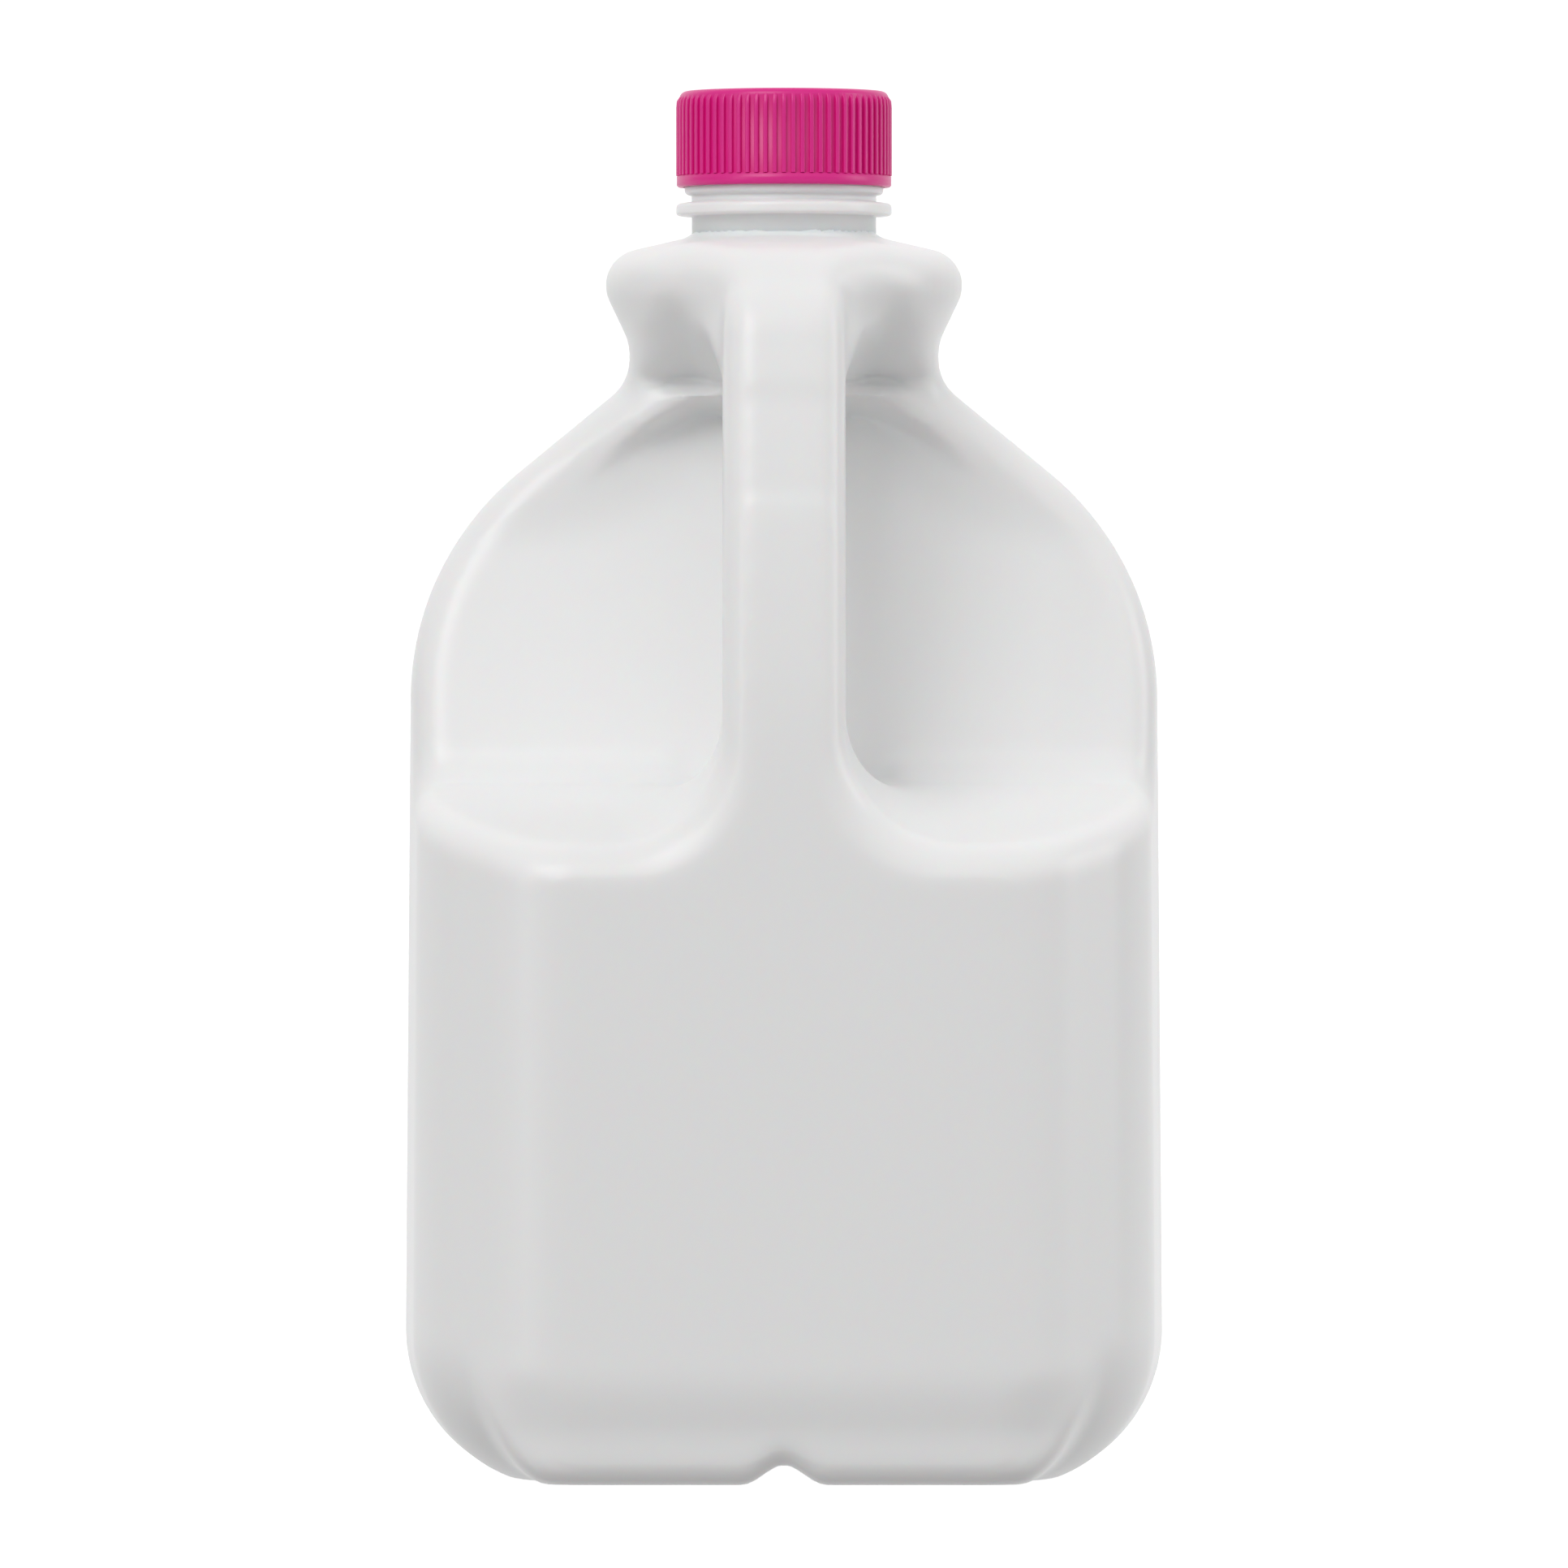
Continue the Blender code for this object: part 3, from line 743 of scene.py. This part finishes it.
cap = turned("cap_shell", cap_profile(), CAP_STEPS, magenta)
print("cap shell", len(cap.data.polygons), "faces", [round(v, 4) for v in cap.dimensions])

# %% [markdown]
# ## The ribs of the cap
#
# Fine upright ribs give the fingers a grip. They are all the same, so a tree makes one and repeats
# it. Its path is a short upright line whose upper end bends inwards over the rolled edge. Its
# cross-section is an oblong with round corners, half sunk in the shell. A circle with one point
# for each rib says where they go, and the direction of a point from the axis says how far its rib
# is turned.

# %% cap ribs
RIB_PATH_POINTS = 14
RIB_CORNER_STEPS = 3
RIB_COUNT = 72
RIB_SUNK_FOOT = 0.0001
RIB_HEAD = 0.2649
RIB_WIDTH = 0.00125
RIB_HEIGHT = 0.00043
RIB_CORNER_RADIUS = 0.00024
RIB_BEND_LENGTH = 0.0016
RIB_BEND_DEPTH = 0.0009

given = start_tree("cap_ribs_form", {
    "Ribs": "Int",
    "Radius": "Float",
    "Foot": "Float",
    "Head": "Float",
    "Rib Width": "Float",
    "Rib Height": "Float",
    "Corner Radius": "Float",
    "Bend Length": "Float",
    "Bend Depth": "Float",
    "Plastic": "Material",
})
foot = Num.node("ShaderNodeCombineXYZ", {}, {"Z": given.output("Foot")})
head = Num.node("ShaderNodeCombineXYZ", {}, {"Z": given.output("Head")})
line = Num.node("GeometryNodeCurvePrimitiveLine", {}, {"Start": foot, "End": head})
line = Num.node("GeometryNodeResampleCurve", {}, {"Curve": line, "Count": RIB_PATH_POINTS})
place = Num.node("GeometryNodeInputPosition", {}, {})
height = Num.node("ShaderNodeSeparateXYZ", {}, {"Vector": place}, "Z")
bend_from = given.output("Head") - given.output("Bend Length")
bent = larger(height - bend_from, 0.0) / given.output("Bend Length")
inwards = Num.node("ShaderNodeCombineXYZ", {}, {"X": -(bent * bent * given.output("Bend Depth"))})
path = Num.node("GeometryNodeSetPosition", {}, {"Geometry": line, "Offset": inwards})
section = Num.node("GeometryNodeCurvePrimitiveQuadrilateral", {}, {
    "Width": given.output("Rib Width"),
    "Height": given.output("Rib Height") * 2.0,
})
section = Num.node("GeometryNodeFilletCurve", {"mode": "POLY"}, {
    "Curve": section,
    "Radius": given.output("Corner Radius"),
    "Count": RIB_CORNER_STEPS,
})
rib = Num.node("GeometryNodeCurveToMesh", {}, {
    "Curve": path,
    "Profile Curve": section,
    "Fill Caps": True,
})
circle = Num.node("GeometryNodeMeshCircle", {}, {
    "Vertices": given.output("Ribs"),
    "Radius": given.output("Radius"),
})
point_x = Num.node("ShaderNodeSeparateXYZ", {}, {"Vector": place}, "X")
turn = Num.made("ARCTAN2", point_x.output("Y"), point_x)
turns = Num.node("ShaderNodeCombineXYZ", {}, {"Z": turn})
ring = Num.node("GeometryNodeInstanceOnPoints", {}, {
    "Points": circle,
    "Instance": rib,
    "Rotation": Num.node("FunctionNodeEulerToRotation", {}, {"Euler": turns}),
})
end_tree(ring, given.output("Plastic"))
cap_ribs = from_tree("cap_ribs", Num.tree, {
    "Ribs": RIB_COUNT,
    "Radius": CAP_BODY_RADIUS,
    "Foot": CAP_RIB_FOOT - RIB_SUNK_FOOT,
    "Head": RIB_HEAD,
    "Rib Width": RIB_WIDTH,
    "Rib Height": RIB_HEIGHT,
    "Corner Radius": RIB_CORNER_RADIUS,
    "Bend Length": RIB_BEND_LENGTH,
    "Bend Depth": RIB_BEND_DEPTH,
    "Plastic": magenta,
})
print("cap ribs", len(cap_ribs.data.polygons), "faces", [round(v, 4) for v in cap_ribs.dimensions])

# %% [markdown]
# ## Taking the places of the plain solids
#
# The jug has no moving body, so every piece rides the root. The body and the neck finish are one
# moulding and stand in for the node `jug`. The shell and the ribs stand in for the node `cap`.

# %% places
for piece in (body, neck):
    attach(piece, "root")
    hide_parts("jug")
for piece in (cap, cap_ribs):
    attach(piece, "root")
    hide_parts("cap")
print("pieces:", [piece.name for piece in (body, neck, cap, cap_ribs)])

# %% [markdown]
# ## The floor
#
# The jug stands on a pale sheet that sweeps up behind it, so no horizon shows. In a product
# picture the sheet is lit until it is just white. A glow of its own does that here without a strong
# lamp behind the jug, which would also whiten its sides. The sheet doesn't shine back on the jug
# from below, because that would wash out the soft dark side of the heel.

# %% floor
SHEET_HALF_WIDTH = 6.0
SHEET_FRONT = -6.0
SHEET_BEND_AT = 2.0
SHEET_BEND_RADIUS = 1.5
SHEET_TOP = 6.0
SHEET_STEPS = 16
FLOOR_WHITE = (0.25, 0.25, 0.25, 1.0)
FLOOR_GLOW = 0.90
FLOOR_ROUGHNESS = 0.9

sweep = [(SHEET_FRONT, 0.0)]
for index in range(SHEET_STEPS + 1):
    angle = math.radians(90.0 * index / SHEET_STEPS)
    sweep.append((SHEET_BEND_AT + SHEET_BEND_RADIUS * math.sin(angle),
                  SHEET_BEND_RADIUS - SHEET_BEND_RADIUS * math.cos(angle)))
sweep.append((SHEET_BEND_AT + SHEET_BEND_RADIUS, SHEET_TOP))
verts = []
for y, z in sweep:
    verts += [(-SHEET_HALF_WIDTH, y, z), (SHEET_HALF_WIDTH, y, z)]
faces = [(2 * i, 2 * i + 1, 2 * i + 3, 2 * i + 2) for i in range(len(sweep) - 1)]
floor_mesh = bpy.data.meshes.new("floor")
floor_mesh.from_pydata(verts, [], faces)
floor = bpy.data.objects.new("floor", floor_mesh)
scene.collection.objects.link(floor)
shade_smooth(floor)
sheet_paper = bpy.data.materials.new("floor_white")
sheet_paper.use_nodes = True
paper = sheet_paper.node_tree.nodes["Principled BSDF"]
paper.inputs["Base Color"].default_value = FLOOR_WHITE
paper.inputs["Roughness"].default_value = FLOOR_ROUGHNESS
paper.inputs["Emission Color"].default_value = (1.0, 1.0, 1.0, 1.0)
paper.inputs["Emission Strength"].default_value = FLOOR_GLOW
floor_mesh.materials.append(sheet_paper)
floor.visible_diffuse = False
print("floor", len(faces), "strips")

# %% [markdown]
# ## Soft light
#
# The main lamp is a wide one, high in front on the left, with a weak one opposite to fill its
# shadows. A tall strip on the left and a larger lamp on the right draw the light lines down the
# edges of the handle and the panel, and one lamp is turned to the sheet behind. Small lamps would
# give hard shadows, so all of these are wide areas. The air around gives the rest, brighter from
# above than from below. The strengths were fitted to the brightness of the photograph.

# %% light
AREA_LIGHTS = (
    ("key", (-0.90, -1.75, 1.75), (0.0, 0.0, 0.14), (1.3, 1.3), 20.0),
    ("right_fill", (0.90, -1.75, 1.75), (0.0, 0.0, 0.14), (1.3, 1.3), 2.2),
    ("left_strip", (-1.45, -1.30, 0.45), (0.0, 0.0, 0.13), (0.25, 1.2), 2.8),
    ("right_side", (1.90, -0.10, 0.70), (0.0, 0.0, 0.13), (0.8, 1.4), 7.9),
    ("backdrop", (0.0, 0.90, 2.60), (0.0, 3.4, 0.6), (3.0, 0.8), 9.8),
)
AIR_LOW = 0.37
AIR_HIGH = 0.64
AIR_SPAN = (-0.25, 0.45)


def area_light(name, location, target, size, watts):
    """A wide lamp at a place, turned towards a target."""
    data = bpy.data.lights.new(name, "AREA")
    data.shape = "RECTANGLE"
    data.size, data.size_y = size
    data.energy = watts
    light = bpy.data.objects.new(name, data)
    light.location = location
    aim = bpy.data.objects.new(name + "_aim", None)
    aim.location = target
    scene.collection.objects.link(light)
    scene.collection.objects.link(aim)
    track = light.constraints.new("TRACK_TO")
    track.target = aim
    track.track_axis = "TRACK_NEGATIVE_Z"
    track.up_axis = "UP_Y"


for lamp in AREA_LIGHTS:
    area_light(*lamp)
air = bpy.data.worlds.new("studio")
air.use_nodes = True
Num.tree = air.node_tree
look = Num.node("ShaderNodeTexCoord", {}, {}, "Generated")
look_up = Num.node("ShaderNodeSeparateXYZ", {}, {"Vector": look}, "Z")
glow = Num.node("ShaderNodeMapRange", {}, {
    "Value": look_up,
    "From Min": AIR_SPAN[0],
    "From Max": AIR_SPAN[1],
    "To Min": AIR_LOW,
    "To Max": AIR_HIGH,
}, "Result")
sky = air.node_tree.nodes["Background"]
sky.inputs["Color"].default_value = (1.0, 1.0, 1.0, 1.0)
air.node_tree.links.new(glow.socket, sky.inputs["Strength"])
scene.world = air
scene.view_settings.view_transform = "Standard"
print("lights:", [lamp[0] for lamp in AREA_LIGHTS])
